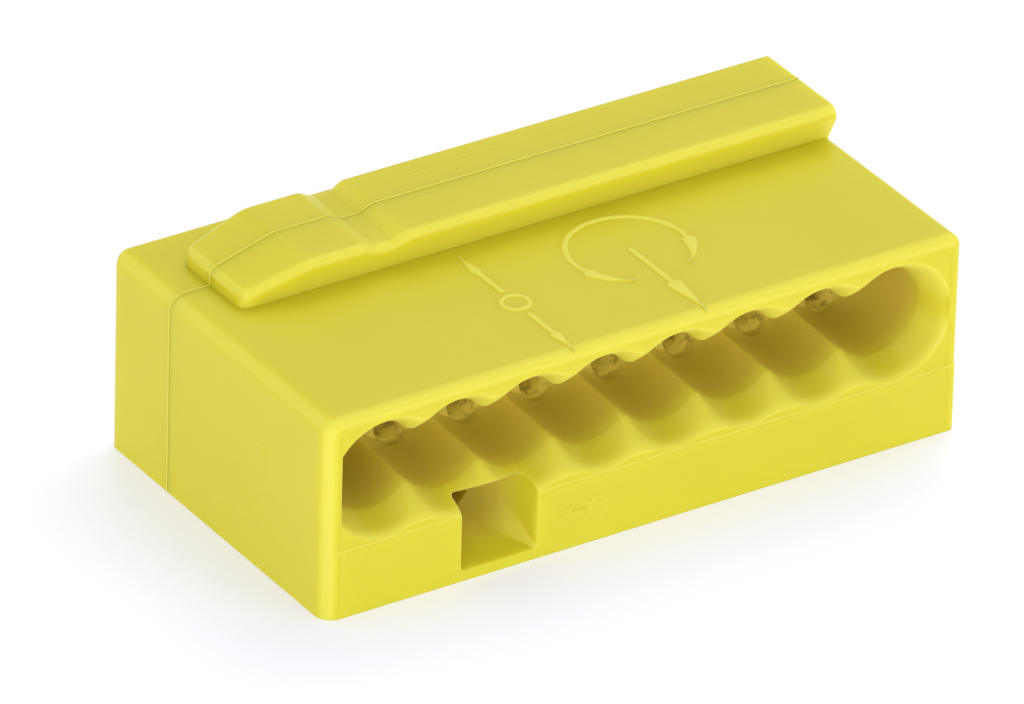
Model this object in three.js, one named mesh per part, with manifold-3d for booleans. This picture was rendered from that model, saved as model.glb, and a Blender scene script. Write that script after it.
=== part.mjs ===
// A push-wire connector for junction boxes: eight solid conductors on one potential.
// Millimetres, +Z up. X runs along the row of wire entries, -Y is the wire entry side.
// The origin is the middle of the footprint, on the face that the connector rests on.
import * as THREE from "three";
import { mergeVertices } from "three/addons/utils/BufferGeometryUtils.js";
import Module from "manifold-3d";

// Outer shape.
const WIDTH = 18.92;
const DEPTH = 10.3;
const BODY_HEIGHT = 5.65;
const FRONT = -DEPTH / 2;
const BACK = DEPTH / 2;
const SIDE = WIDTH / 2;
const LEFT_EDGE_RADIUS = 0.55; // upright edge to the left of the wire entries
const RIGHT_EDGE_RADIUS = 0.25;
const BACK_EDGE_RADIUS = 0.3;
const TOP_SIDE_RADIUS = 0.36; // top edges that run front to back
const TOP_FRONT_RADIUS = 0.36;
const FACE_CUT = 0.05; // the flat front face is cut this far behind the corner arcs
const ENTRY_RECESS = 0.04; // the face round the entries lies this far behind the band below it
const BAND_TOP = 1.9;
const RECESS_TOP = BODY_HEIGHT - TOP_FRONT_RADIUS;
const END_SLOPE_START = 8.1; // outside this X the top face falls away
const END_SLOPE_DROP = 0.05;
const ARC_STEPS = 8;

// Dovetail rail on the top, and the matching groove underneath that takes a neighbour's rail.
const RAIL_HEIGHT = 1.0;
const RAIL_TOP = BODY_HEIGHT + RAIL_HEIGHT;
const RAIL_MIDDLE = 2.2; // Y of its middle
const RAIL_HALF_TOP = 1.7;
const RAIL_HALF_NECK = 1.33;
const RAIL_EDGE_RADIUS = 0.22;
const RAIL_ROOT_RADIUS = 0.12;
const RAIL_LEFT = -8.28;
const RAIL_RIGHT = 9.38;
const RAIL_LEFT_HEIGHT = 0.5; // height of the ramp's low end
const RAMP_TOP = -6.6; // X where the ramp reaches full height
const DIP = { from: -4.82, floorFrom: -4.4, floorTo: -3.9, to: -3.5, depth: 0.18 };
const GROOVE_CLEARANCE = 0.07;
const GROOVE_HEIGHT = RAIL_HEIGHT + 0.05;
const GROOVE_LEFT = RAIL_LEFT - 0.1;

// Wire entries.
const ENTRIES = 8;
const PITCH = 2.162;
const ENTRY_MIDDLE = -0.06; // X of the row's middle
const TUNNEL_Z = 3.655;
const TUNNEL_RADIUS = 1.34;
const FLARE_RADIUS = 1.62;
const FLARE_DEPTH = 0.95;
const TUNNEL_DEPTH = 3.45;
const WIRE_HOLE_RADIUS = 0.47;
const WIRE_HOLE_Z = 2.9;
const END_WALL = 1.0;
const CHAMBER_FRONT = FRONT + TUNNEL_DEPTH + END_WALL;
const ROUND_STEPS = 32;

// Test slot below the entries.
const SLOT = { left: -5.46, right: -3.31, floor: 0.38, top: 2.5, depth: 2.6, taper: 0.5, topTaper: 0.6 };
const PROBE_X = -4.51;
const PROBE_Z = 1.4;
const PROBE_RADIUS = 0.55;

// Contact chamber, and the seam where the rear cover meets the housing.
const SEAM = 2.3;
const SEAM_GAP = 0.03;
const CHAMBER_SIDE = 8.6;
const CHAMBER_FLOOR = 1.9;
const CHAMBER_CEILING = 4.45;
const CHAMBER_BACK = 4.42;
const REBATE = 0.4; // step in the housing that takes the cover's rim
const REBATE_FRONT = 1.35;
const RIM_CLEARANCE = 0.05;
const RIB_THICKNESS = 0.3;
const RIB_BACK = 1.25;
const LATCH = { places: [-6, 0, 6], width: 1.6, height: 0.14, from: 1.55, to: 1.95 };

// Current bar.
const BAR_THICKNESS = 0.45;
const BAR_BOTTOM = CHAMBER_FLOOR + 0.03;
const BAR_TOP = BAR_BOTTOM + BAR_THICKNESS;
const BAR_SIDE = 8.3;
const BAR_FRONT = CHAMBER_FRONT + 0.08;
const BAR_FLANGE = { front: 3.7, back: 4.06, top: 4.15 };
const BAR_TAB = { halfWidth: 0.7, bottom: 1.35, thickness: 0.45 };

// Clamping springs: one folded leaf for each wire.
const LEAF = 0.2;
const LEAF_WIDTH = 1.5;
const LEG_Z = 4.31; // middle of the fixed leg
const BEND_Y = -0.05;
const BEND_RADIUS = 0.4;
const BEND_Z = LEG_Z - BEND_RADIUS;
const HOOK_Y = 4.25;
const HOOK_BOTTOM = 3.55;
const TONGUE_TIP = { y: 1.95, z: 2.52 };
const BEND_SPLIT = 4; // degrees of bend left open between the fixed leg and the tongue

const wasm = await Module();
wasm.setup();

const PLASTIC = { color: 0xdfd544, roughness: 0.45, metalness: 0 };
const COPPER = { color: 0xc9c6bd, roughness: 0.35, metalness: 1 };
const STEEL = { color: 0xb4b6b8, roughness: 0.28, metalness: 1 };

// Geometry helpers.

function solidOf(geometry) {
  const bare = geometry.index ? geometry.toNonIndexed() : geometry.clone();
  bare.deleteAttribute("normal");
  bare.deleteAttribute("uv");
  const merged = mergeVertices(bare, 1e-4);
  const mesh = new wasm.Mesh({
    numProp: 3,
    vertProperties: merged.attributes.position.array,
    triVerts: new Uint32Array(merged.index.array),
  });
  return new wasm.Manifold(mesh);
}

function geometryOf(solid) {
  const mesh = solid.getMesh();
  const geometry = new THREE.BufferGeometry();
  geometry.setAttribute("position", new THREE.BufferAttribute(mesh.vertProperties, 3));
  geometry.setIndex(new THREE.BufferAttribute(mesh.triVerts, 1));
  geometry.computeVertexNormals();
  return geometry;
}

// An outline through corners [u, v, radius]. A corner with a radius is rounded with an arc.
function outline(corners, arcSteps = ARC_STEPS) {
  const points = [];
  corners.forEach(([u, v, radius = 0], i) => {
    const corner = new THREE.Vector2(u, v);
    if (radius === 0) {
      points.push(corner);
      return;
    }
    const [beforeU, beforeV] = corners.at(i - 1);
    const [afterU, afterV] = corners[(i + 1) % corners.length];
    const before = new THREE.Vector2(beforeU, beforeV).sub(corner).normalize();
    const after = new THREE.Vector2(afterU, afterV).sub(corner).normalize();
    const half = Math.acos(before.dot(after)) / 2;
    const toCentre = before.clone().add(after).normalize();
    const centre = corner.clone().addScaledVector(toCentre, radius / Math.sin(half));
    const start = corner.clone().addScaledVector(before, radius / Math.tan(half)).sub(centre);
    const end = corner.clone().addScaledVector(after, radius / Math.tan(half)).sub(centre);
    const sweep = Math.atan2(start.cross(end), start.dot(end));
    for (let step = 0; step <= arcSteps; step++) {
      const turned = start.clone().rotateAround(new THREE.Vector2(), (sweep * step) / arcSteps);
      points.push(turned.add(centre));
    }
  });
  return new THREE.Shape(points);
}

function extruded(shape, length, xAxis, yAxis, zAxis, offset) {
  const geometry = new THREE.ExtrudeGeometry(shape, { depth: length, bevelEnabled: false });
  geometry.applyMatrix4(new THREE.Matrix4().makeBasis(xAxis, yAxis, zAxis));
  geometry.translate(offset.x, offset.y, offset.z);
  return solidOf(geometry);
}

const X = new THREE.Vector3(1, 0, 0);
const Y = new THREE.Vector3(0, 1, 0);
const Z = new THREE.Vector3(0, 0, 1);

// A Y-Z outline drawn out along X, an X-Z outline along Y, and an X-Y outline along Z.
function alongX(shape, x0, x1) {
  return extruded(shape, x1 - x0, Y, Z, X, new THREE.Vector3(x0, 0, 0));
}

function alongY(shape, y0, y1) {
  return extruded(shape, y1 - y0, X, Z, Y.clone().negate(), new THREE.Vector3(0, y1, 0));
}

function alongZ(shape, z0, z1) {
  return extruded(shape, z1 - z0, X, Y, Z, new THREE.Vector3(0, 0, z0));
}

function box(x0, x1, y0, y1, z0, z1) {
  const geometry = new THREE.BoxGeometry(x1 - x0, y1 - y0, z1 - z0);
  geometry.translate((x0 + x1) / 2, (y0 + y1) / 2, (z0 + z1) / 2);
  return solidOf(geometry);
}

// A solid turned about a line along Y through (x, z), from a profile of [radius, y] points.
function turned(profile, x, z, steps = ROUND_STEPS) {
  const points = profile.map(([radius, y]) => new THREE.Vector2(radius, y));
  const geometry = new THREE.LatheGeometry(points, steps);
  geometry.translate(x, 0, z);
  return solidOf(geometry);
}

function entryX(index) {
  return ENTRY_MIDDLE + (index - (ENTRIES - 1) / 2) * PITCH;
}

const entryIndices = [...Array(ENTRIES).keys()];

// Outer shape of the whole body, before it is split at the seam.
function outerBody() {
  const cornerFront = FRONT - FACE_CUT;
  const plan = outline([
    [-SIDE, cornerFront, LEFT_EDGE_RADIUS],
    [SIDE, cornerFront, RIGHT_EDGE_RADIUS],
    [SIDE, BACK, BACK_EDGE_RADIUS],
    [-SIDE, BACK, BACK_EDGE_RADIUS],
  ]);
  const end = BODY_HEIGHT - END_SLOPE_DROP;
  const front = outline([
    [-SIDE, 0],
    [SIDE, 0],
    [SIDE, end, TOP_SIDE_RADIUS],
    [END_SLOPE_START, BODY_HEIGHT],
    [-END_SLOPE_START, BODY_HEIGHT],
    [-SIDE, end, TOP_SIDE_RADIUS],
  ]);
  const side = outline([
    [FRONT, 0],
    [BACK, 0],
    [BACK, BODY_HEIGHT, TOP_FRONT_RADIUS],
    [FRONT, BODY_HEIGHT, TOP_FRONT_RADIUS],
  ]);
  return alongZ(plan, 0, BODY_HEIGHT)
    .intersect(alongY(front, FRONT - 1, BACK + 1))
    .intersect(alongX(side, -SIDE, SIDE))
    .subtract(box(-SIDE, SIDE, FRONT - 1, FRONT + ENTRY_RECESS, BAND_TOP, RECESS_TOP));
}

// The dovetail's section, widest at its top and filleted into the body at its root.
function dovetailSection() {
  const rootHalf = RAIL_HALF_NECK + RAIL_ROOT_RADIUS;
  const sharpHalf = RAIL_HALF_TOP + RAIL_EDGE_RADIUS * 0.55;
  return outline([
    [RAIL_MIDDLE - rootHalf, BODY_HEIGHT - 0.3],
    [RAIL_MIDDLE + rootHalf, BODY_HEIGHT - 0.3],
    [RAIL_MIDDLE + rootHalf, BODY_HEIGHT],
    [RAIL_MIDDLE + RAIL_HALF_NECK, BODY_HEIGHT + 0.02, RAIL_ROOT_RADIUS],
    [RAIL_MIDDLE + sharpHalf, RAIL_TOP, RAIL_EDGE_RADIUS],
    [RAIL_MIDDLE - sharpHalf, RAIL_TOP, RAIL_EDGE_RADIUS],
    [RAIL_MIDDLE - RAIL_HALF_NECK, BODY_HEIGHT + 0.02, RAIL_ROOT_RADIUS],
    [RAIL_MIDDLE - rootHalf, BODY_HEIGHT],
  ], 5);
}

// The rail: a low ramp at its left end, then a dip that a neighbour's detent clicks into.
function rail() {
  const dipFloor = RAIL_TOP - DIP.depth;
  const lengthwise = outline([
    [RAIL_LEFT, BODY_HEIGHT - 0.3],
    [RAIL_RIGHT, BODY_HEIGHT - 0.3],
    [RAIL_RIGHT, RAIL_TOP],
    [DIP.to, RAIL_TOP, 0.2],
    [DIP.floorTo, dipFloor, 0.2],
    [DIP.floorFrom, dipFloor, 0.2],
    [DIP.from, RAIL_TOP, 0.25],
    [RAMP_TOP, RAIL_TOP, 1.5],
    [RAIL_LEFT, BODY_HEIGHT + RAIL_LEFT_HEIGHT, 0.2],
  ], 5);
  return alongX(dovetailSection(), RAIL_LEFT, RAIL_RIGHT).intersect(alongY(lengthwise, 0, BACK));
}

// The groove: closed at the left, open at the right, with a detent rib for a neighbour's dip.
function groove() {
  const grow = GROOVE_CLEARANCE;
  const section = outline([
    [RAIL_MIDDLE - RAIL_HALF_NECK - 0.2, -1],
    [RAIL_MIDDLE + RAIL_HALF_NECK + 0.2, -1],
    [RAIL_MIDDLE + RAIL_HALF_NECK + 0.2, 0],
    [RAIL_MIDDLE + RAIL_HALF_NECK + grow, 0.15],
    [RAIL_MIDDLE + RAIL_HALF_TOP + grow, GROOVE_HEIGHT - 0.12],
    [RAIL_MIDDLE + RAIL_HALF_TOP + grow, GROOVE_HEIGHT],
    [RAIL_MIDDLE - RAIL_HALF_TOP - grow, GROOVE_HEIGHT],
    [RAIL_MIDDLE - RAIL_HALF_TOP - grow, GROOVE_HEIGHT - 0.12],
    [RAIL_MIDDLE - RAIL_HALF_NECK - grow, 0.15],
    [RAIL_MIDDLE - RAIL_HALF_NECK - 0.2, 0],
  ]);
  const detentBottom = GROOVE_HEIGHT - DIP.depth + 0.05;
  const detent = box(DIP.floorFrom + 0.03, DIP.floorTo - 0.03, 0, BACK, detentBottom, GROOVE_HEIGHT + 1);
  return alongX(section, GROOVE_LEFT, SIDE + 1).subtract(detent);
}

function shell() {
  return outerBody().add(rail()).subtract(groove());
}

// What is cut out of the housing at one wire entry: flare, tunnel and wire hole.
function entryCutter(index) {
  const x = entryX(index);
  const slope = (FLARE_RADIUS - TUNNEL_RADIUS) / FLARE_DEPTH;
  const outside = 0.5;
  const tunnel = turned([
    [0, FRONT - outside],
    [FLARE_RADIUS + slope * outside, FRONT - outside],
    [TUNNEL_RADIUS, FRONT + FLARE_DEPTH],
    [TUNNEL_RADIUS, FRONT + TUNNEL_DEPTH],
    [0, FRONT + TUNNEL_DEPTH],
  ], x, TUNNEL_Z);
  const leadIn = 0.15;
  const wireHole = turned([
    [0, FRONT + TUNNEL_DEPTH - 0.1],
    [WIRE_HOLE_RADIUS + leadIn + 0.1, FRONT + TUNNEL_DEPTH - 0.1],
    [WIRE_HOLE_RADIUS, FRONT + TUNNEL_DEPTH + leadIn],
    [WIRE_HOLE_RADIUS, CHAMBER_FRONT + 0.1],
    [0, CHAMBER_FRONT + 0.1],
  ], x, WIRE_HOLE_Z, 20);
  return tunnel.add(wireHole);
}

// The test slot narrows towards its end wall, where a round hole leads on to the current bar.
function testSlotCutter() {
  const geometry = new THREE.BoxGeometry(1, 1, 1);
  const corners = geometry.attributes.position;
  for (let i = 0; i < corners.count; i++) {
    const deep = corners.getY(i) > 0;
    const y = deep ? FRONT + SLOT.depth : FRONT - 0.5;
    const along = (y - FRONT) / SLOT.depth;
    const right = SLOT.right - SLOT.taper * along;
    const top = SLOT.top - SLOT.topTaper * along;
    const x = corners.getX(i) > 0 ? right : SLOT.left;
    const z = corners.getZ(i) > 0 ? top : SLOT.floor;
    corners.setXYZ(i, x, y, z);
  }
  const probeEnd = BAR_FRONT - 0.05;
  const probeHole = turned([
    [0, FRONT + SLOT.depth - 0.1],
    [PROBE_RADIUS, FRONT + SLOT.depth - 0.1],
    [PROBE_RADIUS, probeEnd],
    [0, probeEnd],
  ], PROBE_X, PROBE_Z, 24);
  const reach = BAR_TAB.halfWidth + 0.12;
  const tabChannel = box(
    PROBE_X - reach, PROBE_X + reach, probeEnd - 0.05, SEAM + 1, BAR_TAB.bottom - 0.05, CHAMBER_FLOOR + 0.1,
  );
  return solidOf(geometry).add(probeHole).add(tabChannel);
}

// The cavity with its floor and ceiling moved out by grow, from one Y to another.
function cavity(grow, y0, y1) {
  const side = CHAMBER_SIDE + grow;
  return box(-side, side, y0, y1, CHAMBER_FLOOR - grow, CHAMBER_CEILING + grow);
}

// Latch noses on the cover's rim, or the pockets they snap into when grow is positive.
function latches(grow) {
  const { width, height, from, to } = LATCH;
  const reach = REBATE - RIM_CLEARANCE;
  const noseSection = (z, up) => outline([
    [from - grow, z],
    [to + grow, z],
    [to + grow, z + up * (height + grow)],
    [from + 0.2 - grow, z + up * (height + grow)],
  ]);
  const noses = LATCH.places.flatMap((x) => [
    alongX(noseSection(CHAMBER_CEILING + reach - 0.02, 1), x - width / 2 - grow, x + width / 2 + grow),
    alongX(noseSection(CHAMBER_FLOOR - reach + 0.02, -1), x - width / 2 - grow, x + width / 2 + grow),
  ]);
  return noses.reduce((all, nose) => all.add(nose));
}

function housing() {
  let solid = shell().intersect(box(-SIDE - 1, SIDE + 1, FRONT - 1, SEAM, -1, RAIL_TOP + 1));
  solid = solid.subtract(cavity(0, CHAMBER_FRONT, SEAM + 1));
  solid = solid.subtract(cavity(REBATE, REBATE_FRONT, SEAM + 1));
  solid = solid.subtract(latches(0.05));
  for (const index of entryIndices.slice(1)) {
    const left = entryX(index) - (PITCH + RIB_THICKNESS) / 2;
    const right = left + RIB_THICKNESS;
    const rib = box(left, right, CHAMBER_FRONT - 0.1, RIB_BACK, BAR_TOP + 0.05, CHAMBER_CEILING + 0.1);
    solid = solid.add(rib);
  }
  for (const index of entryIndices) {
    solid = solid.subtract(entryCutter(index));
  }
  return solid.subtract(testSlotCutter());
}

function rearCover() {
  const back = shell().intersect(box(-SIDE - 1, SIDE + 1, SEAM + SEAM_GAP, BACK + 1, -1, RAIL_TOP + 1));
  const rim = cavity(REBATE - RIM_CLEARANCE, REBATE_FRONT + 0.08, SEAM + 1);
  return back.add(rim).add(latches(0)).subtract(cavity(0, REBATE_FRONT - 1, CHAMBER_BACK));
}

// The current bar: a plate under the wires, an upright flange behind them, a tab for the test probe.
function currentBar() {
  const { front, back, top } = BAR_FLANGE;
  const section = outline([
    [BAR_FRONT, BAR_BOTTOM],
    [back, BAR_BOTTOM, 0.5],
    [back, top],
    [front, top],
    [front, BAR_TOP, 0.14],
    [BAR_FRONT + 0.2, BAR_TOP],
    [BAR_FRONT, BAR_TOP - 0.2],
  ], 5);
  const tab = box(
    PROBE_X - BAR_TAB.halfWidth, PROBE_X + BAR_TAB.halfWidth,
    BAR_FRONT, BAR_FRONT + BAR_TAB.thickness, BAR_TAB.bottom, BAR_BOTTOM + 0.1,
  );
  return alongX(section, -BAR_SIDE, BAR_SIDE).add(tab);
}

// The section of a leaf whose middle follows the centreline points.
function leafOutline(centreline) {
  const sides = [1, -1].map((side) => centreline.map((point, i) => {
    const before = centreline[Math.max(i - 1, 0)];
    const after = centreline[Math.min(i + 1, centreline.length - 1)];
    const along = after.clone().sub(before).normalize();
    const across = new THREE.Vector2(-along.y, along.x);
    return point.clone().addScaledVector(across, (side * LEAF) / 2);
  }));
  return new THREE.Shape([...sides[0], ...sides[1].reverse()]);
}

function bendPoint(degrees) {
  const angle = THREE.MathUtils.degToRad(degrees);
  return new THREE.Vector2(BEND_Y + BEND_RADIUS * Math.cos(angle), BEND_Z + BEND_RADIUS * Math.sin(angle));
}

function bendArc(fromDegrees, toDegrees, steps) {
  const turn = (toDegrees - fromDegrees) / steps;
  return [...Array(steps + 1).keys()].map((i) => bendPoint(fromDegrees + turn * i));
}

// The bend angle where a straight tongue to the tip leaves the arc.
function tongueStart() {
  const tip = new THREE.Vector2(TONGUE_TIP.y - BEND_Y, TONGUE_TIP.z - BEND_Z);
  const lean = Math.atan2(tip.y, tip.x) - Math.asin(BEND_RADIUS / tip.length());
  return 270 + THREE.MathUtils.radToDeg(lean + Math.asin(BEND_RADIUS / tip.length()) * 2);
}

// The fixed leg: a hook over the bar's flange, a straight run forward, and the front bend.
function fixedLeg(index) {
  const hookRadius = 0.18;
  const hookTop = [0, 30, 60, 90].map((degrees) => {
    const spoke = new THREE.Vector2(hookRadius, 0);
    spoke.rotateAround(new THREE.Vector2(), THREE.MathUtils.degToRad(degrees));
    return spoke.add(new THREE.Vector2(HOOK_Y - hookRadius, LEG_Z - hookRadius));
  });
  const centreline = [
    new THREE.Vector2(HOOK_Y, HOOK_BOTTOM),
    ...hookTop,
    ...bendArc(90, tongueStart() - BEND_SPLIT, 10),
  ];
  const x = entryX(index);
  return alongX(leafOutline(centreline), x - LEAF_WIDTH / 2, x + LEAF_WIDTH / 2);
}

// The tongue: the free leg, which clamps the wire on the current bar and swings up about the bend.
function tongue(index) {
  const centreline = [bendPoint(tongueStart()), new THREE.Vector2(TONGUE_TIP.y, TONGUE_TIP.z)];
  const x = entryX(index);
  return alongX(leafOutline(centreline), x - LEAF_WIDTH / 2, x + LEAF_WIDTH / 2);
}

function piece(name, solid, finish) {
  const mesh = new THREE.Mesh(geometryOf(solid), new THREE.MeshStandardMaterial(finish));
  mesh.name = name;
  return mesh;
}

const connector = new THREE.Group();
connector.name = "push_wire_connector";
connector.add(piece("housing", housing(), PLASTIC));
connector.add(piece("rear_cover", rearCover(), PLASTIC));
connector.add(piece("current_bar", currentBar(), COPPER));
for (const index of entryIndices) {
  connector.add(piece(`spring_leg_${index + 1}`, fixedLeg(index), STEEL));
  connector.add(piece(`spring_tongue_${index + 1}`, tongue(index), STEEL));
}

export default connector;
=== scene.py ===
import bmesh
import bpy
import math
from mathutils import Matrix, Vector


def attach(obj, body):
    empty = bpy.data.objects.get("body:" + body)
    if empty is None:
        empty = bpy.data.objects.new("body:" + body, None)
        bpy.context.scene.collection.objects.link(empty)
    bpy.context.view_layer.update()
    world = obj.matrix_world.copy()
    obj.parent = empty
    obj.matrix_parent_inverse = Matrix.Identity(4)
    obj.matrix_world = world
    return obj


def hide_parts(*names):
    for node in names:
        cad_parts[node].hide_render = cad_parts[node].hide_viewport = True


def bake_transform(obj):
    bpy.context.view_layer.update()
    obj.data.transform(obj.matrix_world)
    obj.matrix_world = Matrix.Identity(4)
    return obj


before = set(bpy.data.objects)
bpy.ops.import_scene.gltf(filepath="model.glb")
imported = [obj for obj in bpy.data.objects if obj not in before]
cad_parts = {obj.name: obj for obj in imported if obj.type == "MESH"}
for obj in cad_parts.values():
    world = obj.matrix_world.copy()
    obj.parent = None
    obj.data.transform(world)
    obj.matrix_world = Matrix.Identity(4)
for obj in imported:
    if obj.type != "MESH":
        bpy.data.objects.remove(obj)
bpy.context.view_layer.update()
print("frame loaded")

# Shapes are made in millimetres and brought down to metres as the last thing.
mm = 0.001
far = 20    # past the whole body


def meshPiece(name, points, faces):
    mesh = bpy.data.meshes.new(name)
    mesh.from_pydata([tuple(p) for p in points], [], faces)
    bm = bmesh.new()
    bm.from_mesh(mesh)
    bmesh.ops.recalc_face_normals(bm, faces=bm.faces)
    bmesh.ops.triangulate(bm, faces=[f for f in bm.faces if len(f.verts) > 4])
    bm.to_mesh(mesh)
    bm.free()
    piece = bpy.data.objects.new(name, mesh)
    bpy.context.scene.collection.objects.link(piece)
    return piece


def loft(name, rings, stripEnds=False):
    # rings of equal length, skinned in order and closed at both ends; a ring that runs up one side
    # of a strip and down the other is closed with a row of quads
    count = len(rings[0])
    points = [p for ring in rings for p in ring]
    faces = []
    for first in (0, len(points) - count):
        if stripEnds:
            for i in range(count // 2 - 1):
                faces.append((first + i, first + i + 1, first + count - 2 - i, first + count - 1 - i))
        else:
            faces.append(list(range(first, first + count)))
    for k in range(len(rings) - 1):
        for i in range(count):
            j = (i + 1) % count
            faces.append((k * count + i, k * count + j, (k + 1) * count + j, (k + 1) * count + i))
    return meshPiece(name, points, faces)


def roundedOutline(corners, steps=6):
    # corners are (u, v) or (u, v, radius)
    points = []
    for i, corner in enumerate(corners):
        here = Vector(corner[:2])
        radius = corner[2] if len(corner) > 2 else 0
        if not radius:
            points.append(here)
            continue
        before = (Vector(corners[i - 1][:2]) - here).normalized()
        after = (Vector(corners[(i + 1) % len(corners)][:2]) - here).normalized()
        half = before.angle(after) / 2
        centre = here + (before + after).normalized() * (radius / math.sin(half))
        start = here + before * (radius / math.tan(half)) - centre
        sweep = start.angle_signed(here + after * (radius / math.tan(half)) - centre)
        for s in range(steps + 1):
            turn = Matrix.Rotation(-sweep * s / steps, 2)
            points.append(centre + turn @ start)
    return points


def bar(name, outline, axis, low, high):
    # an outline drawn out along one axis, its two coordinates being the other two in order
    place = {
        "X": lambda p, t: (t, p[0], p[1]),
        "Y": lambda p, t: (p[0], t, p[1]),
        "Z": lambda p, t: (p[0], p[1], t),
    }[axis]
    return loft(name, [[place(p, t) for p in outline] for t in (low, high)])


def block(name, low, high):
    corners = [(low[0], low[1]), (high[0], low[1]), (high[0], high[1]), (low[0], high[1])]
    return bar(name, corners, "Z", low[2], high[2])


def turnedAlongY(name, profile, x, z, steps=40):
    # profile of (y, radius)
    rings = []
    for y, radius in profile:
        ring = []
        for s in range(steps):
            a = 2 * math.pi * s / steps
            ring.append((x + radius * math.cos(a), y, z + radius * math.sin(a)))
        rings.append(ring)
    return loft(name, rings)


def bake(piece):
    graph = bpy.context.evaluated_depsgraph_get()
    old = piece.data
    made = bpy.data.meshes.new_from_object(piece.evaluated_get(graph))
    piece.modifiers.clear()
    piece.data = made
    bpy.data.meshes.remove(old)


def join(piece, tool, how):
    cut = piece.modifiers.new(how.lower(), "BOOLEAN")
    cut.operation = how
    cut.solver = "EXACT"
    cut.object = tool
    bake(piece)
    bpy.data.objects.remove(tool)


def carve(piece, tool):
    join(piece, tool, "DIFFERENCE")


shading = {"sharpFrom": 32, "flatWeight": 80}


def finishPiece(piece, body, nodes, material):
    piece.data.transform(Matrix.Scale(mm, 4))
    for polygon in piece.data.polygons:
        polygon.use_smooth = True
    piece.data.set_sharp_from_angle(angle=math.radians(shading["sharpFrom"]))
    flats = piece.modifiers.new("flats", "WEIGHTED_NORMAL")
    flats.keep_sharp = True
    flats.weight = shading["flatWeight"]
    piece.data.materials.clear()
    piece.data.materials.append(material)
    if body:
        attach(piece, body)
    if nodes:
        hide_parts(*nodes)


# Short ways to add the usual shader nodes; a value is a constant or another node's output


def newMaterial(name):
    material = bpy.data.materials.new(name)
    material.use_nodes = True
    return material, material.node_tree, material.node_tree.nodes["Principled BSDF"]


def feed(tree, value, socket):
    # a link from another node, or the constant itself
    if isinstance(value, bpy.types.NodeSocket):
        tree.links.new(value, socket)
    else:
        socket.default_value = value


def calc(tree, operation, *values):
    node = tree.nodes.new("ShaderNodeMath")
    node.operation = operation
    for value, socket in zip(values, node.inputs):
        feed(tree, value, socket)
    return node.outputs["Value"]


def ramp(tree, value, start, end, low=0, high=1, smooth=False):
    node = tree.nodes.new("ShaderNodeMapRange")
    if smooth:
        node.interpolation_type = "SMOOTHSTEP"
    for socket, amount in (("From Min", start), ("From Max", end), ("To Min", low), ("To Max", high)):
        node.inputs[socket].default_value = amount
    feed(tree, value, node.inputs["Value"])
    return node.outputs["Result"]


def noise(tree, vector, scale, detail):
    node = tree.nodes.new("ShaderNodeTexNoise")
    node.inputs["Scale"].default_value = scale
    node.inputs["Detail"].default_value = detail
    tree.links.new(vector, node.inputs["Vector"])
    return node.outputs["Fac"]


def mixColour(tree, factor, first, second):
    node = tree.nodes.new("ShaderNodeMix")
    node.data_type = "RGBA"
    feed(tree, factor, node.inputs["Factor"])
    feed(tree, first, node.inputs["A"])
    feed(tree, second, node.inputs["B"])
    return node.outputs["Result"]


def stretched(tree, vector, scale):
    node = tree.nodes.new("ShaderNodeMapping")
    node.inputs["Scale"].default_value = scale
    tree.links.new(vector, node.inputs["Vector"])
    return node.outputs["Vector"]


def split(tree, vector):
    node = tree.nodes.new("ShaderNodeSeparateXYZ")
    tree.links.new(vector, node.inputs["Vector"])
    return [node.outputs[axis] for axis in "XYZ"]


def bumped(tree, height, strength, distance, below=None):
    node = tree.nodes.new("ShaderNodeBump")
    node.inputs["Distance"].default_value = distance
    feed(tree, strength, node.inputs["Strength"])
    feed(tree, height, node.inputs["Height"])
    if below:
        tree.links.new(below, node.inputs["Normal"])
    return node.outputs["Normal"]


# Moulded yellow plastic; lengths in this dictionary are in metres

yellow = {
    "base": (0.685, 0.620, 0.034, 1), "cloudy": (0.640, 0.570, 0.028, 1), "cloudScale": 260, "cloudDetail": 3,
    "scatter": 0.45, "scatterRadius": (1.0, 0.80, 0.22), "scatterDepth": 0.0010,
    "ior": 1.45, "specular": 0.28,
    "roughness": 0.40, "smoother": 0.05, "rougher": 0.06, "insideRougher": 0.35,
    # painted shade: the entries and the test slot are painted darker, deep in the body
    "insideShade": (0.62, 0.485, 0.062, 1), "insideFrom": -0.0046, "insideTo": -0.0035, "insideBack": 0.0006,
    "insideSide": 0.0092, "insideTop": 0.0052, "insideFloor": 0.0003,
    # painted light in the wire holes: a mottled tone, lighter than the painted shade of the entries around
    # them
    "hole": (0.95, 0.80, 0.15, 1), "holeDark": (0.52, 0.39, 0.07, 1),
    "holeFrom": -0.00182, "holeTo": -0.00172,
    "spotScale": 3200, "spotDetail": 4, "spotFrom": 0.48, "spotTo": 0.66,
    # painted highlight: paler on rounded edges, lips, and the tops of the marks
    "highlightTone": (0.82, 0.77, 0.13, 1), "squareFrom": 0.99, "squareTo": 0.86, "edgeHighlight": 0.48,
    "markFrom": 0.005665, "markTo": 0.00569, "markBack": 0.00045, "markHighlight": 0.6,
    "grainScale": 9000, "grainDetail": 2, "grainStrength": 0.10, "grainDepth": 0.00001,
    # fine drag lines along the rail, where it slides into a neighbour
    "dragStretch": (0.03, 1, 0.3), "dragScale": 9000, "dragDetail": 4, "dragFrom": 0.0060, "dragTo": 0.0064,
    "dragStrength": 0.5, "dragDepth": 0.00002,
}


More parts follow.
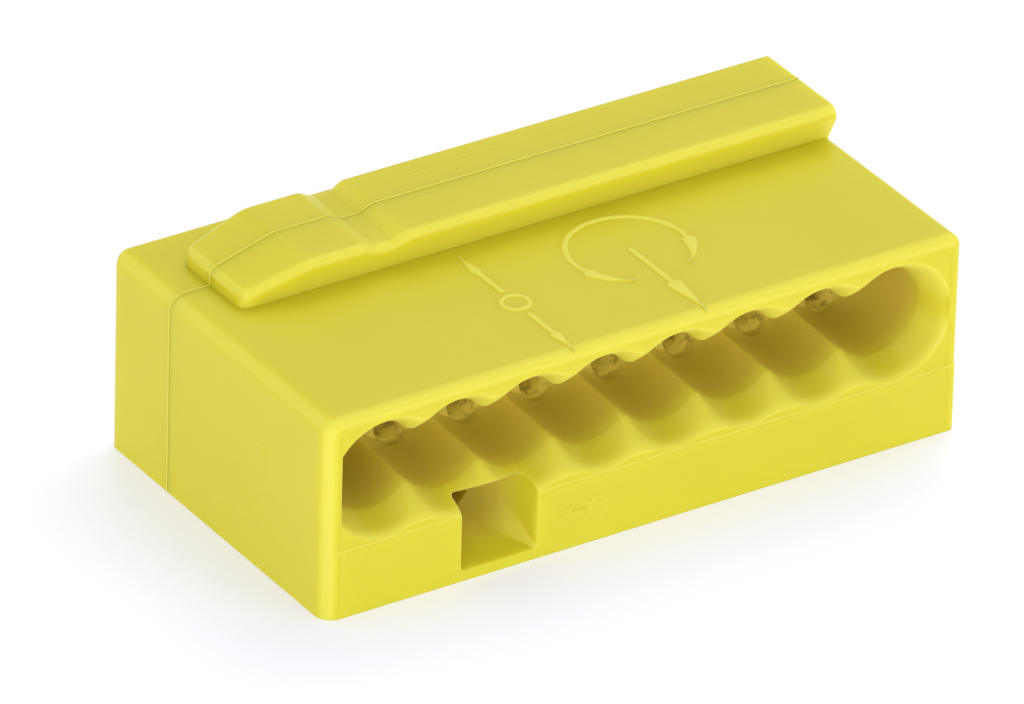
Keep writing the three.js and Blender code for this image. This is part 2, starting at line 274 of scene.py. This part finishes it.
def insideShadeMask(tree, x, y, z):
    # where shade is painted: 0 on the outside, rising to 1 down in the entries
    mask = ramp(tree, y, yellow["insideFrom"], yellow["insideTo"], smooth=True)
    for test, value, limit in (
        ("LESS_THAN", calc(tree, "ABSOLUTE", x), yellow["insideSide"]),
        ("LESS_THAN", z, yellow["insideTop"]),
        ("LESS_THAN", y, yellow["insideBack"]),
        ("GREATER_THAN", z, yellow["insideFloor"]),
    ):
        mask = calc(tree, "MULTIPLY", mask, calc(tree, test, value, limit))
    return mask


# painted highlight on rounded edges and on the tops of the raised marks
def paintedHighlightMask(tree, normal, insideShade, y, z):
    facing = tree.nodes.new("ShaderNodeVectorMath")
    facing.operation = "ABSOLUTE"
    tree.links.new(normal, facing.inputs[0])
    sides = split(tree, facing.outputs["Vector"])
    squarest = calc(tree, "MAXIMUM", calc(tree, "MAXIMUM", sides[0], sides[1]), sides[2])
    oblique = ramp(tree, squarest, yellow["squareFrom"], yellow["squareTo"], high=yellow["edgeHighlight"])
    edges = calc(tree, "MULTIPLY", oblique, calc(tree, "SUBTRACT", 1, insideShade))
    raised = ramp(tree, z, yellow["markFrom"], yellow["markTo"], high=yellow["markHighlight"])
    onMark = calc(tree, "MULTIPLY", raised, calc(tree, "LESS_THAN", y, yellow["markBack"]))
    return calc(tree, "MAXIMUM", edges, onMark)


def yellowPlastic(name):
    material, tree, shader = newMaterial(name)
    shader.inputs["Subsurface Weight"].default_value = yellow["scatter"]
    shader.inputs["Subsurface Radius"].default_value = yellow["scatterRadius"]
    shader.inputs["Subsurface Scale"].default_value = yellow["scatterDepth"]
    shader.inputs["IOR"].default_value = yellow["ior"]
    shader.inputs["Specular IOR Level"].default_value = yellow["specular"]
    where = tree.nodes.new("ShaderNodeTexCoord")
    place = where.outputs["Object"]
    x, y, z = split(tree, place)
    insideShade = insideShadeMask(tree, x, y, z)
    cloud = noise(tree, place, yellow["cloudScale"], yellow["cloudDetail"])
    colour = mixColour(tree, cloud, yellow["base"], yellow["cloudy"])
    # painted shade in the entries and the test slot
    colour = mixColour(tree, insideShade, colour, yellow["insideShade"])
    # painted light: the wire holes get a mottled tone lighter than the painted shade around them
    mottle = noise(tree, place, yellow["spotScale"], yellow["spotDetail"])
    spots = ramp(tree, mottle, yellow["spotFrom"], yellow["spotTo"])
    paintedHoleLight = mixColour(tree, spots, yellow["hole"], yellow["holeDark"])
    paintedHoleLightMask = calc(tree, "MULTIPLY", ramp(tree, y, yellow["holeFrom"], yellow["holeTo"]), insideShade)
    colour = mixColour(tree, paintedHoleLightMask, colour, paintedHoleLight)
    # painted highlight on edges and mark tops
    paintedHighlight = paintedHighlightMask(tree, where.outputs["Normal"], insideShade, y, z)
    colour = mixColour(tree, paintedHighlight, colour, yellow["highlightTone"])
    tree.links.new(colour, shader.inputs["Base Color"])
    low, high = yellow["roughness"] - yellow["smoother"], yellow["roughness"] + yellow["rougher"]
    dull = calc(tree, "MULTIPLY_ADD", insideShade, yellow["insideRougher"], ramp(tree, cloud, 0, 1, low, high))
    tree.links.new(dull, shader.inputs["Roughness"])
    alongRail = stretched(tree, place, yellow["dragStretch"])
    drag = noise(tree, alongRail, yellow["dragScale"], yellow["dragDetail"])
    onRail = ramp(tree, z, yellow["dragFrom"], yellow["dragTo"], high=yellow["dragStrength"])
    dragLines = bumped(tree, drag, onRail, yellow["dragDepth"])
    grain = noise(tree, place, yellow["grainScale"], yellow["grainDetail"])
    surface = bumped(tree, grain, yellow["grainStrength"], yellow["grainDepth"], dragLines)
    tree.links.new(surface, shader.inputs["Normal"])
    return material


metals = {
    "tin": {"base": (0.74, 0.73, 0.70, 1), "roughness": 0.34, "streak": 4000},
    "spring": {"base": (0.62, 0.62, 0.63, 1), "roughness": 0.24, "streak": 9000},
    "stretch": (1, 0.04, 0.04), "detail": 2, "smoother": 0.06, "rougher": 0.10,
}


def rolledMetal(name, look):
    material, tree, shader = newMaterial(name)
    shader.inputs["Base Color"].default_value = look["base"]
    shader.inputs["Metallic"].default_value = 1
    where = tree.nodes.new("ShaderNodeTexCoord")
    place = stretched(tree, where.outputs["Object"], metals["stretch"])
    streaks = noise(tree, place, look["streak"], metals["detail"])
    low, high = look["roughness"] - metals["smoother"], look["roughness"] + metals["rougher"]
    tree.links.new(ramp(tree, streaks, 0, 1, low, high), shader.inputs["Roughness"])
    return material


housingPlastic = yellowPlastic("satinYellowHousing")
coverPlastic = yellowPlastic("satinYellowCover")
tinnedCopper = rolledMetal("tinnedCopper", metals["tin"])
springSteel = rolledMetal("springSteel", metals["spring"])
print("materials made")

# The body: a rounded block, flat below the wire entries and set back a little above

body = {
    "side": 9.46, "front": -5.15, "setBack": -5.11, "back": 5.15, "height": 5.65,
    "bandTop": 1.88, "ledge": 0.05,
    "corners": {"frontLeft": 0.46, "frontRight": 0.17, "backRight": 0.30, "backLeft": 0.40},
    "topLeft": 0.46, "topRight": 0.26, "topFront": 0.36, "topBack": 0.30, "least": 0.05,
    "arcSteps": 9, "turns": 9,
}


def planRing(left, right, front, back, radii):
    # corners in order front left, front right, back right, back left; every ring has the same count
    places = [(left, front), (right, front), (right, back), (left, back)]
    return roundedOutline([(*place, radius) for place, radius in zip(places, radii)], body["arcSteps"])


def outerBlock():
    low, high = -body["side"], body["side"]
    cornerRadii = list(body["corners"].values())
    sides = [body["topLeft"], body["topFront"], body["topRight"], body["topBack"]]
    levels = [
        (0, body["front"]), (body["bandTop"], body["front"]),
        (body["bandTop"] + body["ledge"], body["setBack"]),
    ]
    rings = []
    for z, front in levels:
        rings.append([(p.x, p.y, z) for p in planRing(low, high, front, body["back"], cornerRadii)])
    for s in range(body["turns"] + 1):
        t = math.pi / 2 * s / body["turns"]
        left, front, right, back = (radius * (1 - math.cos(t)) for radius in sides)
        inset = (left, front, right, back)
        shrink = [
            max(corner - max(inset[i], inset[(i + 1) % 4]), body["least"])
            for i, corner in enumerate(cornerRadii)
        ]
        plan = planRing(low + left, high - right, body["setBack"] + front, body["back"] - back, shrink)
        ring = []
        for i, p in enumerate(plan):
            # each corner arc runs from one side to the next, and the edge rounding with it
            side, step = divmod(i, body["arcSteps"] + 1)
            share = step / body["arcSteps"]
            radius = (1 - share) * sides[side] + share * sides[(side + 1) % 4]
            ring.append((p.x, p.y, body["height"] - radius * (1 - math.sin(t))))
        rings.append(ring)
    return loft("bodyBlock", rings)


# The dovetail rail on the top, with its ramped left end and the dip for a neighbour's detent

rail = {
    "middle": 2.20, "neck": 1.35, "head": 1.70, "edge": 0.27, "root": 5.60,
    "top": 6.65, "foot": 5.5, "noseRound": 0.35, "neckShare": 0.8, "edgeShare": 0.45, "headOut": 0.5,
    # x, height and rounding along the top
    "heights": [
        (-8.28, 5.95), (-8.16, 6.14, 0.12), (-6.45, 6.65, 1.6), (-4.82, 6.65, 0.22),
        (-4.4, 6.47, 0.22), (-3.9, 6.47, 0.22), (-3.5, 6.65, 0.2), (9.38, 6.65),
    ],
    # slice lengths, fine along the rounded nose
    "noseEnd": 0.5, "noseSlice": 0.04, "slice": 1.5,
}


def railSolid():
    left, right = rail["heights"][0][0], rail["heights"][-1][0]
    stations = [tuple(p) for p in roundedOutline(rail["heights"] + [(right, 5), (left, 5)], 8)[:-2]]
    slope = (rail["head"] - rail["neck"]) / (rail["top"] - rail["root"])
    start = stations[0][0]
    fine = []
    for (x0, h0), (x1, h1) in zip(stations, stations[1:]):
        length = rail["noseSlice"] if x0 < start + rail["noseEnd"] else rail["slice"]
        pieces = max(1, int((x1 - x0) / length))
        for s in range(pieces):
            fine.append((x0 + (x1 - x0) * s / pieces, h0 + (h1 - h0) * s / pieces))
    fine.append(stations[-1])
    rings = []
    for x, height in fine:
        reach = max(0.0, rail["noseRound"] - (x - start))
        inset = rail["noseRound"] - math.sqrt(max(0.0, rail["noseRound"] ** 2 - reach ** 2))
        neck = rail["neck"] - inset * rail["neckShare"]
        head = neck + slope * (height - rail["root"])
        edge = min(rail["edge"], rail["edgeShare"] * (height - rail["root"]))
        head += edge * rail["headOut"]
        outline = roundedOutline([
            (-neck, rail["foot"]), (neck, rail["foot"]), (neck, rail["root"]),
            (head, height, edge), (-head, height, edge), (-neck, rail["root"]),
        ], 6)
        rings.append([(x, rail["middle"] + y, z) for y, z in outline])
    return loft("railSolid", rings)


# The groove below takes a neighbour's rail: closed at the left, open at the right

groove = {
    "neck": 1.42, "neckHeight": 0.14, "head": 1.78, "headDrop": 0.1, "mouth": 1.52, "depth": 1.05,
    "left": -8.36, "right": 10, "below": -1, "detent": ((-4.3, 0, 0.95), (-4.0, 5, 2)),
}


def grooveCutter():
    # one side from the mouth up to the ceiling, then the other side back down
    side = [
        (groove["mouth"], groove["below"]), (groove["mouth"], 0), (groove["neck"], groove["neckHeight"]),
        (groove["head"], groove["depth"] - groove["headDrop"]), (groove["head"], groove["depth"]),
    ]
    outline = [(rail["middle"] + y, z) for y, z in side]
    outline += [(rail["middle"] - y, z) for y, z in reversed(side)]
    cutter = bar("grooveCutter", outline, "X", groove["left"], groove["right"])
    carve(cutter, block("grooveDetent", *groove["detent"]))
    return cutter


# Wire entries: eight funnels run together into one scalloped slot

entry = {
    "count": 8, "pitch": 2.162, "middle": -0.06, "z": 3.65, "face": -5.11,
    "leftLimit": -9.0, "rightLimit": 9.14, "upperRidge": 0.45,
    # depth, radius of the floor, rounding of the ridges between floors, radius of the roof
    "profile": [
        (-0.5, 1.74, 0.9, 1.74), (-0.02, 1.74, 0.9, 1.74), (0.0, 1.72, 0.9, 1.70),
        (0.03, 1.685, 0.9, 1.65), (0.08, 1.645, 0.88, 1.595), (0.16, 1.60, 0.84, 1.53),
        (0.30, 1.548, 0.76, 1.435), (0.45, 1.50, 0.66, 1.35), (0.60, 1.455, 0.55, 1.28),
        (0.74, 1.413, 0.45, 1.24), (0.88, 1.372, 0.36, 1.22), (0.93, 1.36, 0.33, 1.215),
        (0.98, 1.355, 0.30, 1.21), (1.7, 1.342, 0.22, 1.20), (2.5, 1.335, 0.2, 1.20),
        (2.85, 1.32, 0.2, 1.20), (3.08, 1.285, 0.2, 1.19), (3.23, 1.225, 0.2, 1.17),
        (3.32, 1.15, 0.2, 1.15),
    ],
    "arcSteps": 20, "stepsBetween": 24,
    # the wire hole at the end of each funnel, as (depth, radius)
    "holeZ": 2.86, "hole": [(3.10, 0.52), (3.30, 0.52), (3.37, 0.48), (4.45, 0.47)],
}


def entryX(index):
    return entry["middle"] + (index - (entry["count"] - 1) / 2) * entry["pitch"]


def smoothMax(a, b, reach):
    blend = max(reach - abs(a - b), 0) / reach
    return max(a, b) + blend * blend * reach / 4


def slotRing(y, floorRadius, ridge, roofRadius):
    first, last = entryX(0), entryX(entry["count"] - 1)
    arc = entry["arcSteps"]
    steps = (entry["count"] - 1) * entry["stepsBetween"]

    def reachAt(x, radius, smooth):
        heights = sorted(
            math.sqrt(max(radius ** 2 - (x - entryX(i)) ** 2, 0)) for i in range(entry["count"])
        )
        return smoothMax(heights[-1], heights[-2], smooth)

    def endArc(x, start):
        # from the roof's radius at the top to the floor's radius at half height and below
        points = []
        for s in range(arc):
            a = start + math.pi * s / arc
            share = max(math.sin(a), 0)
            radius = share * roofRadius + (1 - share) * floorRadius
            points.append((x + radius * math.cos(a), y, entry["z"] + radius * math.sin(a)))
        return points

    ring = endArc(first, math.pi / 2)
    for s in range(steps):
        x = first + (last - first) * s / steps
        ring.append((x, y, entry["z"] - reachAt(x, floorRadius, ridge)))
    ring += endArc(last, -math.pi / 2)
    for s in range(steps):
        x = last + (first - last) * s / steps
        ring.append((x, y, entry["z"] + reachAt(x, roofRadius, entry["upperRidge"])))
    return [(min(max(x, entry["leftLimit"]), entry["rightLimit"]), y, z) for x, y, z in ring]


def slotCutter():
    return loft("slotCutter", [slotRing(entry["face"] + depth, *shape) for depth, *shape in entry["profile"]])


# Test slot below the third and fourth entries

probe = {
    "left": -5.46, "right": -3.20, "top": 2.60, "floor": 0.31, "face": -5.15,
    # depth, how far the right wall, the floor and the ceiling have come in, lower right corner's radius
    "profile": [
        (-0.4, -0.05, -0.03, 0, 0.12), (-0.02, -0.05, -0.03, 0, 0.12), (0.02, -0.03, -0.01, 0.01, 0.12),
        (0.07, 0.0, 0.0, 0.04, 0.14), (0.3, 0.01, 0.02, 0.18, 0.25), (0.6, 0.04, 0.05, 0.36, 0.42),
        (0.9, 0.09, 0.10, 0.48, 0.55), (1.2, 0.18, 0.18, 0.56, 0.6), (1.5, 0.32, 0.30, 0.62, 0.6),
        (1.75, 0.50, 0.44, 0.68, 0.5), (1.92, 0.68, 0.56, 0.72, 0.45), (2.0, 0.86, 0.66, 0.76, 0.4),
    ],
    "leftSlope": 0.08, "corner": 0.12,
    "holeX": -4.51, "holeZ": 1.36, "hole": 0.48, "holeFrom": 1.9, "holePast": 0.3,
}


def probeCutter():
    rings = []
    for depth, wallIn, floorIn, ceilingIn, corner in probe["profile"]:
        left, right = probe["left"] + probe["leftSlope"] * max(depth, 0), probe["right"] - wallIn
        floor, top = probe["floor"] + floorIn, probe["top"] - ceilingIn
        outline = roundedOutline([
            (left, floor, probe["corner"]), (right, floor, corner),
            (right, top, probe["corner"]), (left, top, probe["corner"]),
        ], 8)
        rings.append([(x, probe["face"] + depth, z) for x, z in outline])
    return loft("probeCutter", rings)


# Contact chamber behind the entries

chamber = {
    "side": 8.6, "floor": 1.9, "ceiling": 4.45, "front": -0.70, "back": 4.42,
    "rebate": 0.4, "rebateFront": 1.35, "rimGap": 0.05, "rimShort": 0.08, "rimBack": 3,
    "seam": 2.32, "seamGap": 0.004, "flash": 0.045, "flashProud": 0.012, "flashFoot": 0.02,
    "flashCoreSide": 9.3, "flashCoreTop": 5.5, "flashHighlightColour": (0.80, 0.71, 0.085, 1),
}


def cavity(grow, front, back):
    side = chamber["side"] + grow
    return block("cavity", (-side, front, chamber["floor"] - grow), (side, back, chamber["ceiling"] + grow))


def seamFlash(shell):
    # the thin line of plastic that stands proud along the joint
    ring = shell.copy()
    ring.data = shell.data.copy()
    ring.name = "jointFlash"
    bpy.context.scene.collection.objects.link(ring)
    low, high = chamber["seam"] - chamber["flash"] / 2, chamber["seam"] + chamber["flash"] / 2
    join(ring, block("seamSlab", (-far, low, chamber["flashFoot"]), (far, high, far)), "INTERSECT")
    coreSide = chamber["flashCoreSide"]
    carve(ring, block("seamCore", (-coreSide, low - 1, -1), (coreSide, high + 1, chamber["flashCoreTop"])))
    wide = 1 + chamber["flashProud"] / body["side"]
    tall = 1 + chamber["flashProud"] / body["height"]
    ring.data.transform(Matrix.Diagonal((wide, 1, tall, 1)))
    return ring


shell = outerBlock()
join(shell, railSolid(), "UNION")
carve(shell, grooveCutter())
print("outer shell made")

housing = shell.copy()
housing.data = shell.data.copy()
housing.name = "housingShell"
bpy.context.scene.collection.objects.link(housing)
carve(housing, block("behindSeam", (-far, chamber["seam"] - chamber["seamGap"] / 2, -5), (far, far, far)))
carve(housing, cavity(0, chamber["front"], 5))
carve(housing, cavity(chamber["rebate"], chamber["rebateFront"], 5))
carve(housing, slotCutter())
for index in range(entry["count"]):
    profile = [(entry["face"] + d, r) for d, r in entry["hole"]]
    carve(housing, turnedAlongY("holeCutter", profile, entryX(index), entry["holeZ"]))
carve(housing, probeCutter())
probeHole = [
    (probe["face"] + probe["holeFrom"], probe["hole"]), (chamber["front"] + probe["holePast"], probe["hole"]),
]
carve(housing, turnedAlongY("probeHole", probeHole, probe["holeX"], probe["holeZ"]))
print("housing cut")

cover = shell
cover.name = "rearCoverShell"
flash = seamFlash(shell)
carve(cover, block("beforeSeam", (-far, -far, -5), (far, chamber["seam"] + chamber["seamGap"] / 2, far)))
rimFront = chamber["rebateFront"] + chamber["rimShort"]
rim = cavity(chamber["rebate"] - chamber["rimGap"], rimFront, chamber["rimBack"])
join(cover, rim, "UNION")
carve(cover, cavity(0, 0, chamber["back"]))
print("cover cut")

# Raised marks, moulded with the housing: low soft ridges that follow the surface

marks = {
    "proud": 0.05, "sunk": 0.06, "edge": 0.06, "line": 0.17, "tip": 0.05, "bead": 0.15,
    # how high each ring of a ridge lies, as a share of proud, and how far in, as a share of edge
    "crown": [(0.3, 0.0), (0.8, 0.45), (1.0, 1.0)],
}


def topHeight(y):
    # the top face, and its rounded front edge
    over = max(body["setBack"] + body["topFront"] - y, 0)
    return body["height"] - body["topFront"] + math.sqrt(body["topFront"] ** 2 - over ** 2)


def arrow(path, heads, headLength, headWidth):
    # outline of a line along path, with a tapered head at each listed end, 0 the start and 1 the end
    lengths = [0.0]
    for here, after in zip(path, path[1:]):
        lengths.append(lengths[-1] + (after - here).length)
    left, right = [], []
    for i, here in enumerate(path):
        along = (path[min(i + 1, len(path) - 1)] - path[max(i - 1, 0)]).normalized()
        toTip = min([lengths[i]] * (0 in heads) + [lengths[-1] - lengths[i]] * (1 in heads))
        inHead = toTip < headLength
        width = max(headWidth * toTip / headLength, marks["tip"]) if inHead else marks["line"]
        across = Vector((-along.y, along.x)) * (width / 2)
        left.append(here + across)
        right.append(here - across)
    return left + right[::-1]


def topMark(name, outline):
    area = sum(p.x * q.y - q.x * p.y for p, q in zip(outline, outline[1:] + outline[:1]))
    if area < 0:
        outline = outline[::-1]
    rings = []
    levels = [(-marks["sunk"], 0.0)] + [(marks["proud"] * up, inward) for up, inward in marks["crown"]]
    for rise, shrink in levels:
        ring = []
        for i, here in enumerate(outline):
            along = (outline[(i + 1) % len(outline)] - outline[i - 1]).normalized()
            inward = Vector((-along.y, along.x)) * marks["edge"] * shrink
            ring.append((here.x + inward.x, here.y + inward.y, topHeight(here.y) + rise))
        rings.append(ring)
    return loft(name, rings, stripEnds=True)


def beadRing(name, place, radius, width, proud):
    # a round bead, as a closed turn; place puts (across, along, rise) on its face
    points, faces = [], []
    around, section = 36, 10
    for s in range(around):
        a = 2 * math.pi * s / around
        for t in range(section):
            b = 2 * math.pi * t / section
            r = radius + math.cos(b) * width / 2
            points.append(place(r * math.cos(a), r * math.sin(a), math.sin(b) * proud))
            here, after = s * section, (s + 1) % around * section
            beside = (t + 1) % section
            faces.append((here + t, after + t, after + beside, here + beside))
    return meshPiece(name, points, faces)


def straight(start, end, steps=24):
    return [Vector(start).lerp(Vector(end), s / steps) for s in range(steps + 1)]


stripGauge = {
    "x": -2.16, "back": 0.34, "front": -5.0, "head": 0.34, "headLength": 0.9,
    "ring": 0.36, "ringY": -2.30, "gap": 0.60,
}
turnSign = {
    "centre": (1.78, -1.45), "radius": 1.62, "from": -57, "to": 245, "steps": 60,
    "head": 0.44, "headLength": 1.4,
    "pull": (1.80, -1.45), "pullTip": -5.0, "pullHead": 0.52, "pullHeadLength": 1.6,
}


def topMarks():
    made = []
    g = stripGauge
    for tip, foot in ((g["back"], g["ringY"] + g["gap"]), (g["front"], g["ringY"] - g["gap"])):
        shape = arrow(straight((g["x"], tip), (g["x"], foot)), [0], g["headLength"], g["head"])
        made.append(topMark("gaugeArrow", shape))

    def onTop(across, along, rise):
        return (g["x"] + across, g["ringY"] + along, body["height"] + rise)

    made.append(beadRing("gaugeRing", onTop, g["ring"], marks["bead"], marks["proud"]))
    t = turnSign
    turn = []
    for s in range(t["steps"] + 1):
        a = math.radians(t["from"] + (t["to"] - t["from"]) * s / t["steps"])
        turn.append(Vector(t["centre"]) + t["radius"] * Vector((math.cos(a), math.sin(a))))
    made.append(topMark("turnArrow", arrow(turn, [0, 1], t["headLength"], t["head"])))
    x, top = t["pull"]
    pull = arrow(straight((x, top), (x, t["pullTip"])), [1], t["pullHeadLength"], t["pullHead"])
    made.append(topMark("pullArrow", pull))
    return made


frontSign = {
    "x": -2.55, "z": 0.98, "length": 0.75, "barb": 0.5, "height": 0.62, "stem": 0.08,
    "ringX": -1.35, "ring": 0.26, "width": 0.11, "proud": 0.022, "sunk": 0.05,
}


def frontMarks():
    # an arrow towards the test slot, then a small ring
    f = frontSign
    barb, tail = f["x"] + f["length"] * f["barb"], f["x"] + f["length"]
    half = [(barb, f["height"] / 2), (barb, f["stem"]), (tail, f["stem"])]
    head = [(f["x"], f["z"])]
    head += [(x, f["z"] - out) for x, out in half]
    head += [(x, f["z"] + out) for x, out in reversed(half)]

    def onFront(across, along, rise):
        return (f["ringX"] + across, body["front"] - rise, f["z"] + along)

    ring = beadRing("probeRing", onFront, f["ring"], f["width"], f["proud"])
    return [bar("probeArrow", head, "Y", body["front"] - f["proud"], body["front"] + f["sunk"]), ring]


gate = {"y": -2.1, "z": 3.4, "radius": 0.25, "bevel": 0.04, "proud": 0.012, "sunk": 0.05, "steps": 28}


def gateSpot():
    rings = []
    for out, bevel in ((-gate["sunk"], 0), (gate["proud"] / 2, 0), (gate["proud"], gate["bevel"])):
        radius = gate["radius"] - bevel
        ring = []
        for s in range(gate["steps"]):
            a = 2 * math.pi * s / gate["steps"]
            y, z = gate["y"] + radius * math.cos(a), gate["z"] + radius * math.sin(a)
            ring.append((-body["side"] - out, y, z))
        rings.append(ring)
    return loft("gateSpot", rings)


# Fine flash where the mould halves met: two upright lines and one along the top of the lower band

mould = {
    "leftX": -9.03, "rightX": 9.19, "half": 0.016, "proud": 0.012, "sunk": 0.04, "foot": 0.06, "top": 5.2,
    "ledges": [(-8.9, -5.52), (-3.14, 9.1)], "ledgeHeight": 0.03, "ledgeSunk": 0.03,
}


def mouldLines():
    made = []
    proud, sunk, half = mould["proud"], mould["sunk"], mould["half"]
    stretches = [
        (body["front"], mould["foot"], body["bandTop"]),
        (body["setBack"], body["bandTop"] + mould["foot"], mould["top"]),
    ]
    for x in (mould["leftX"], mould["rightX"]):
        for face, low, high in stretches:
            made.append(block("mouldLine", (x - half, face - proud, low), (x + half, face + sunk, high)))
    for left, right in mould["ledges"]:
        low = (left, body["front"] - proud, body["bandTop"] - mould["ledgeHeight"])
        made.append(block("ledgeLine", low, (right, body["front"] + mould["ledgeSunk"], body["bandTop"])))
    return made


def gather(parts):
    # separate shapes in one mesh, so that one union adds them all
    bm = bmesh.new()
    for part in parts:
        bm.from_mesh(part.data)
    for part in parts[1:]:
        bpy.data.objects.remove(part)
    bm.to_mesh(parts[0].data)
    bm.free()
    return parts[0]


join(housing, gather(topMarks() + frontMarks() + mouldLines() + [gateSpot()]), "UNION")
print("marks raised")

# the flash is painted paler, a painted highlight along the joint, and is too thin for light to spread in it
flashPlastic = yellowPlastic("flashPaintedHighlight")
flashLook = flashPlastic.node_tree.nodes["Principled BSDF"]
flashPlastic.node_tree.links.remove(flashLook.inputs["Base Color"].links[0])
flashLook.inputs["Base Color"].default_value = chamber["flashHighlightColour"]
flashLook.inputs["Subsurface Weight"].default_value = 0
finishPiece(flash, "connector", [], flashPlastic)
finishPiece(housing, "connector", ["housing"], housingPlastic)
finishPiece(cover, "connector", ["rear_cover"], coverPlastic)

# Clamping springs: one folded strip for each wire

spring = {
    "width": 1.5, "thickness": 0.2, "legZ": 4.31, "bendY": -0.05, "bendRadius": 0.4,
    "hookY": 4.25, "hookBottom": 3.55, "hookRise": 0.55, "hookRound": 0.18, "hookTurns": (15, 40, 65, 90),
    "tipY": 1.95, "tipZ": 2.52, "edge": 0.05, "bendSteps": 18,
}


def springLine():
    # up the hook, round on to the leg, along it, round the bend and down the tongue
    points = [Vector((spring["hookY"], spring["hookBottom"] + spring["hookRise"] * s / 3)) for s in range(4)]
    cornerY, cornerZ = spring["hookY"] - spring["hookRound"], spring["legZ"] - spring["hookRound"]
    for a in spring["hookTurns"]:
        turn = math.radians(a)
        out = spring["hookRound"] * Vector((math.cos(turn), math.sin(turn)))
        points.append(Vector((cornerY, cornerZ)) + out)
    for s in range(1, 6):
        points.append(Vector((cornerY + (spring["bendY"] - cornerY) * s / 6, spring["legZ"])))
    centre = Vector((spring["bendY"], spring["legZ"] - spring["bendRadius"]))
    tip = Vector((spring["tipY"], spring["tipZ"])) - centre
    leave = math.degrees(math.atan2(tip.y, tip.x) + math.asin(spring["bendRadius"] / tip.length)) + 270
    for s in range(spring["bendSteps"] + 1):
        turn = math.radians(90 + (leave - 90) * s / spring["bendSteps"])
        points.append(centre + Vector((math.cos(turn), math.sin(turn))) * spring["bendRadius"])
    leaving = points[-1]
    for s in range(1, 9):
        points.append(leaving.lerp(centre + tip, s / 8))
    return points


def springStrip(index):
    line = springLine()
    wide, thick, edge = spring["width"] / 2, spring["thickness"] / 2, spring["edge"]
    outline = roundedOutline([
        (-wide, -thick, edge), (wide, -thick, edge), (wide, thick, edge), (-wide, thick, edge),
    ], 3)
    rings = []
    for i, here in enumerate(line):
        along = (line[min(i + 1, len(line) - 1)] - line[max(i - 1, 0)]).normalized()
        across = Vector((-along.y, along.x))
        rings.append([
            (entryX(index) + u, here.x + across.x * v, here.y + across.y * v) for u, v in outline
        ])
    return loft(f"clampSpring{index + 1}", rings)


for index in range(entry["count"]):
    number = index + 1
    strip = springStrip(index)
    replaced = [f"spring_leg_{number}", f"spring_tongue_{number}"]
    finishPiece(strip, None, replaced, springSteel)
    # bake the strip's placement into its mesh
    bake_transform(strip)
print("springs bent")

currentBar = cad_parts["current_bar"]
currentBar.data.materials.clear()
currentBar.data.materials.append(tinnedCopper)

# Floor, light and camera

table = {
    "reach": 2, "base": (0.715, 0.725, 0.88, 1), "roughness": 0.9, "glow": (1, 1, 1, 1), "glowStrength": 0.32,
}

reach = table["reach"]
floorMesh = bpy.data.meshes.new("tableTop")
floorCorners = [(-reach, -reach, 0), (reach, -reach, 0), (reach, reach, 0), (-reach, reach, 0)]
floorMesh.from_pydata(floorCorners, [], [(0, 1, 2, 3)])
tableTop = bpy.data.objects.new("tableTop", floorMesh)
bpy.context.scene.collection.objects.link(tableTop)
paper, _, paperLook = newMaterial("paleTable")
paperLook.inputs["Base Color"].default_value = table["base"]
paperLook.inputs["Roughness"].default_value = table["roughness"]
paperLook.inputs["Emission Color"].default_value = table["glow"]
paperLook.inputs["Emission Strength"].default_value = table["glowStrength"]
floorMesh.materials.append(paper)

studio = {
    "sky": (1.0, 1.0, 1.0, 1), "skyStrength": 0.68,
    "lamps": [
        {"name": "overheadSoftbox", "place": (0.16, 0.12, 0.30), "size": 0.24, "power": 0.40},
        {"name": "frontLeftSoftbox", "place": (-0.28, -0.27, 0.06), "size": 0.20, "power": 0.66},
        {"name": "frontRightSoftbox", "place": (0.20, -0.33, 0.05), "size": 0.18, "power": 0.35},
    ],
}

world = bpy.data.worlds.new("studioSky")
world.use_nodes = True
world.node_tree.nodes["Background"].inputs["Color"].default_value = studio["sky"]
world.node_tree.nodes["Background"].inputs["Strength"].default_value = studio["skyStrength"]
bpy.context.scene.world = world
for lamp in studio["lamps"]:
    light = bpy.data.lights.new(lamp["name"], "AREA")
    light.shape = "SQUARE"
    light.size = lamp["size"]
    light.energy = lamp["power"]
    holder = bpy.data.objects.new(lamp["name"], light)
    holder.location = lamp["place"]
    holder.rotation_euler = (-Vector(lamp["place"])).to_track_quat("-Z", "Y").to_euler()
    bpy.context.scene.collection.objects.link(holder)

eye = {
    "azimuth": -33.609, "elevation": 30.0726, "roll": 1.6511, "distance": 0.34997,
    "aim": (-0.00006, -0.0001, 0), "across": -0.0005178, "up": 0.002178, "lens": 484.9, "nearest": 0.01,
}


def placeCamera():
    az, el, roll = (math.radians(eye[k]) for k in ("azimuth", "elevation", "roll"))
    back = Vector((math.sin(az) * math.cos(el), -math.cos(az) * math.cos(el), math.sin(el)))
    right = Vector((math.cos(az), math.sin(az), 0))
    up = back.cross(right)
    tiltedRight = right * math.cos(roll) + up * math.sin(roll)
    tiltedUp = up * math.cos(roll) - right * math.sin(roll)
    camera = bpy.data.objects.new("studioCamera", bpy.data.cameras.new("studioCamera"))
    camera.data.lens = eye["lens"]
    camera.data.sensor_width = 36
    camera.data.clip_start = eye["nearest"]
    turn = Matrix((tiltedRight, tiltedUp, back)).transposed()
    place = Vector(eye["aim"]) + back * eye["distance"] + tiltedRight * eye["across"] + tiltedUp * eye["up"]
    camera.matrix_world = Matrix.Translation(place) @ turn.to_4x4()
    bpy.context.scene.collection.objects.link(camera)
    bpy.context.scene.camera = camera


placeCamera()
bpy.context.scene.view_settings.view_transform = "Standard"
print("studio set")
